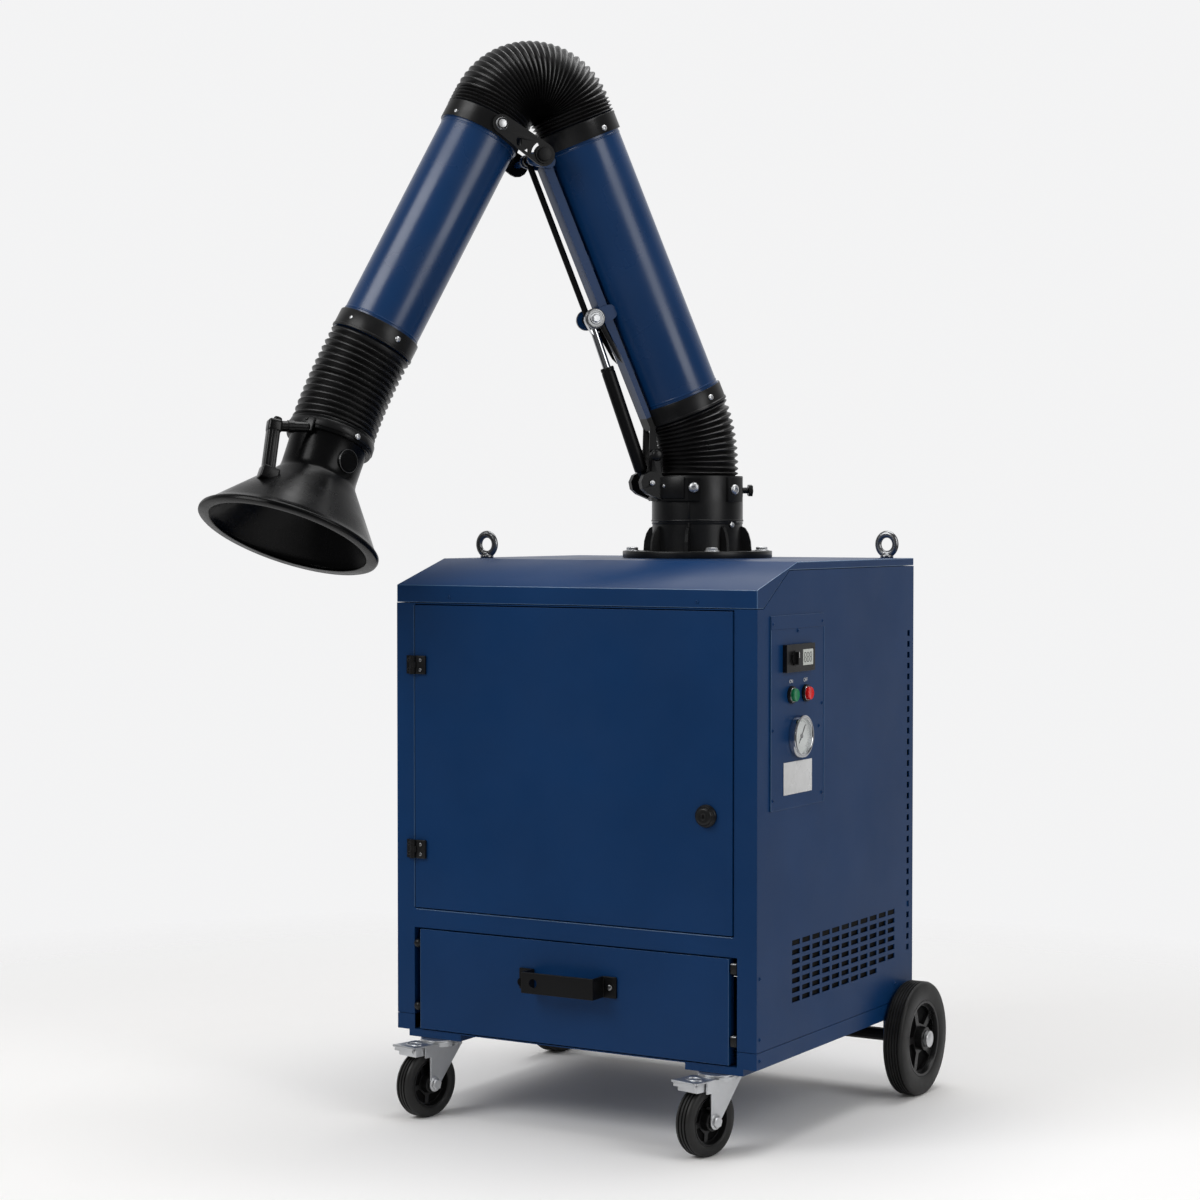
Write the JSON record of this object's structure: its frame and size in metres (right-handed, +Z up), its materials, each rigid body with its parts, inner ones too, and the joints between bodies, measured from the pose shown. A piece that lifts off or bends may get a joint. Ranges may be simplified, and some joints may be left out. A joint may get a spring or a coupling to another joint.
{
  "type": "welding fume extractor",
  "caption": "Mobile welding fume extractor: blue sheet-steel filter cabinet on casters and rear wheels, with a jointed blue extraction arm, black ribbed hoses and a black hood",
  "frame": {"origin": "on the floor, at the middle of the machine's bounding box", "axes": "+Z up, -Y towards the door and drawer, +X towards the control panel"},
  "size_m": [1.076, 1.0704, 1.9917],
  "materials": {
    "blue_paint": "satin blue powder coat",
    "black_plastic": "satin black moulding",
    "black_paint": "black powder coat",
    "hose": "black ribbed hose",
    "tyre": "black rubber tread on a black rim",
    "zinc": "bright zinc",
    "chrome": "polished",
    "green": "green push button",
    "red": "red push button",
    "filter": "white pleated media",
    "galvanised": "galvanised sheet",
    "motor": "grey paint"
  },
  "bodies": {
    "cabinet": {"base_tray": "blue_paint", "left_side_panel": "blue_paint", "right_side_panel": "blue_paint", "rear_panel": "blue_paint", "front_frame": "blue_paint", "lid": "blue_paint", "mid_shelf": "blue_paint", "control_panel": "blue_paint", "switch_unit": "black_plastic", "gauge_case": "chrome", "start_bezel": "black_plastic", "stop_bezel": "black_plastic", "lifting_eye_left": "zinc", "lifting_eye_right": "zinc", "filter_base_ring": "hose", "filter_cartridge": "filter", "filter_cap": "galvanised", "fan_housing": "galvanised", "fan_motor": "motor", "rear_axle": "black_paint", "hinge_upper_frame_leaf": "black_plastic", "hinge_lower_frame_leaf": "black_plastic", "arm_flange": "black_plastic"},
    "column": {"swivel_collar": "black_plastic", "pivot_bracket": "black_paint", "base_hose": "hose"},
    "clamp": {"clamp_knob": "black_plastic"},
    "lower_arm": {"lower_tube": "blue_paint", "support_rail": "blue_paint", "tie_rod": "black_paint", "elbow_hose": "hose"},
    "spring_cylinder": {"gas_spring_cylinder": "black_paint"},
    "spring_rod": {"gas_spring_rod": "chrome"},
    "upper_arm": {"upper_tube": "blue_paint", "elbow_plate_near": "black_paint", "elbow_plate_far": "black_paint", "hood_hose": "hose"},
    "cross": {"joint_cross": "zinc"},
    "hood_body": {"hood": "black_plastic", "hood_handle": "black_plastic"},
    "door_body": {"door": "blue_paint", "door_seal": "hose", "hinge_upper_door_leaf": "black_plastic", "hinge_lower_door_leaf": "black_plastic"},
    "lock_body": {"door_lock": "black_plastic"},
    "drawer_body": {"drawer": "blue_paint", "drawer_handle": "black_paint"},
    "start_body": {"start_button": "green"},
    "stop_body": {"stop_button": "red"},
    "switch_body": {"switch_knob": "black_plastic"},
    "needle_body": {"gauge_needle": "black_plastic"},
    "impeller_body": {"impeller": "galvanised"},
    "caster_left": {"caster_left_fork": "zinc"},
    "caster_left_roller": {"caster_left_wheel": "tyre"},
    "caster_left_brake": {"caster_left_brake_pedal": "zinc"},
    "caster_right": {"caster_right_fork": "zinc"},
    "caster_right_roller": {"caster_right_wheel": "tyre"},
    "caster_right_brake": {"caster_right_brake_pedal": "zinc"},
    "rear_left": {"rear_wheel_left": "tyre"},
    "rear_right": {"rear_wheel_right": "tyre"}
  },
  "joints": [
    {"name": "arm_swivel", "type": "hinge", "parent": "cabinet", "child": "column", "pos_m": [0.1079, 0.28822, 1.1], "axis": [0, 0, 1], "range_deg": [-175, 175]},
    {"name": "clamp_knob_turn", "type": "hinge", "parent": "column", "child": "clamp", "pos_m": [0.17531, 0.34478, 1.1545], "axis": [0.766, 0.6428, 0], "continuous": true},
    {"name": "lower_arm_lean", "type": "hinge", "parent": "column", "child": "lower_arm", "pos_m": [0.04581, 0.21422, 1.2215], "axis": [0.766, -0.6428, 0], "range_deg": [-25, 2], "deforming": ["base_hose"]},
    {"name": "gas_spring_swing", "type": "hinge", "parent": "column", "child": "spring_cylinder", "pos_m": [0.03945, 0.20664, 1.168], "axis": [0.766, -0.6428, 0], "range_deg": [-22, 2.5]},
    {"name": "gas_spring_stroke", "type": "slide", "parent": "spring_cylinder", "child": "spring_rod", "axis": [-0.218, -0.2598, 0.9407], "range_m": [-0.002, 0.01]},
    {"name": "elbow", "type": "hinge", "parent": "lower_arm", "child": "upper_arm", "pos_m": [-0.11, 0.02853, 1.77402], "axis": [-0.766, 0.6428, 0], "range_deg": [0, 55], "deforming": ["elbow_hose"]},
    {"name": "hood_tilt", "type": "hinge", "parent": "upper_arm", "child": "cross", "pos_m": [-0.34101, -0.24677, 1.3242], "axis": [-0.766, 0.6428, 0], "range_deg": [-12, 25], "deforming": ["hood_hose"]},
    {"name": "hood_swing", "type": "hinge", "parent": "cross", "child": "hood_body", "pos_m": [-0.34101, -0.24677, 1.3242], "axis": [-0.5974, -0.712, 0.3689], "range_deg": [-18, 18]},
    {"name": "door_hinge", "type": "hinge", "parent": "cabinet", "child": "door_body", "pos_m": [-0.2261, -0.19438, 0.66], "axis": [0, 0, -1], "range_deg": [0, 110]},
    {"name": "door_lock_turn", "type": "hinge", "parent": "door_body", "child": "lock_body", "pos_m": [0.3865, -0.18858, 0.5867], "axis": [0, -1, 0], "range_deg": [-90, 0]},
    {"name": "drawer_slide", "type": "slide", "parent": "cabinet", "child": "drawer_body", "axis": [0, -1, 0], "range_m": [0, 0.23]},
    {"name": "start_press", "type": "slide", "parent": "cabinet", "child": "start_body", "axis": [-1, 0, 0], "range_m": [0, 0.004], "stiffness_N_per_m": 400},
    {"name": "stop_press", "type": "slide", "parent": "cabinet", "child": "stop_body", "axis": [-1, 0, 0], "range_m": [0, 0.004], "stiffness_N_per_m": 400},
    {"name": "switch_turn", "type": "hinge", "parent": "cabinet", "child": "switch_body", "pos_m": [0.4933, -0.06298, 0.85675], "axis": [1, 0, 0], "range_deg": [0, 90]},
    {"name": "needle_turn", "type": "hinge", "parent": "cabinet", "child": "needle_body", "pos_m": [0.4903, -0.03248, 0.7184], "axis": [1, 0, 0], "range_deg": [-90, 90], "stiffness_Nm_per_rad": 0.002},
    {"name": "impeller_spin", "type": "hinge", "parent": "cabinet", "child": "impeller_body", "pos_m": [0.1079, 0.25322, 0.3], "axis": [0, 0, 1], "continuous": true},
    {"name": "caster_left_swivel", "type": "hinge", "parent": "cabinet", "child": "caster_left", "pos_m": [-0.1841, -0.17078, 0.14], "axis": [0, 0, 1], "continuous": true},
    {"name": "caster_left_roll", "type": "hinge", "parent": "caster_left", "child": "caster_left_roller", "pos_m": [-0.19117, -0.20404, 0.0625], "axis": [0.9781, -0.2079, 0], "continuous": true},
    {"name": "caster_left_brake", "type": "hinge", "parent": "caster_left", "child": "caster_left_brake", "pos_m": [-0.19075, -0.20208, 0.121], "axis": [0.9781, -0.2079, 0], "range_deg": [0, 8]},
    {"name": "caster_right_swivel", "type": "hinge", "parent": "cabinet", "child": "caster_right", "pos_m": [0.3999, -0.17078, 0.14], "axis": [0, 0, 1], "continuous": true},
    {"name": "caster_right_roll", "type": "hinge", "parent": "caster_right", "child": "caster_right_roller", "pos_m": [0.39283, -0.20404, 0.0625], "axis": [0.9781, -0.2079, 0], "continuous": true},
    {"name": "caster_right_brake", "type": "hinge", "parent": "caster_right", "child": "caster_right_brake", "pos_m": [0.39325, -0.20208, 0.121], "axis": [0.9781, -0.2079, 0], "range_deg": [0, 8]},
    {"name": "rear_left_roll", "type": "hinge", "parent": "cabinet", "child": "rear_left", "pos_m": [-0.2916, 0.42722, 0.108], "axis": [1, 0, 0], "continuous": true},
    {"name": "rear_right_roll", "type": "hinge", "parent": "cabinet", "child": "rear_right", "pos_m": [0.5074, 0.42722, 0.108], "axis": [1, 0, 0], "continuous": true}
  ],
  "couplings": [
    {"joint": "gas_spring_swing", "follows": "lower_arm_lean", "ratio": 0.85},
    {"joint": "gas_spring_stroke", "follows": "lower_arm_lean", "m_per_rad": -0.02}
  ]
}
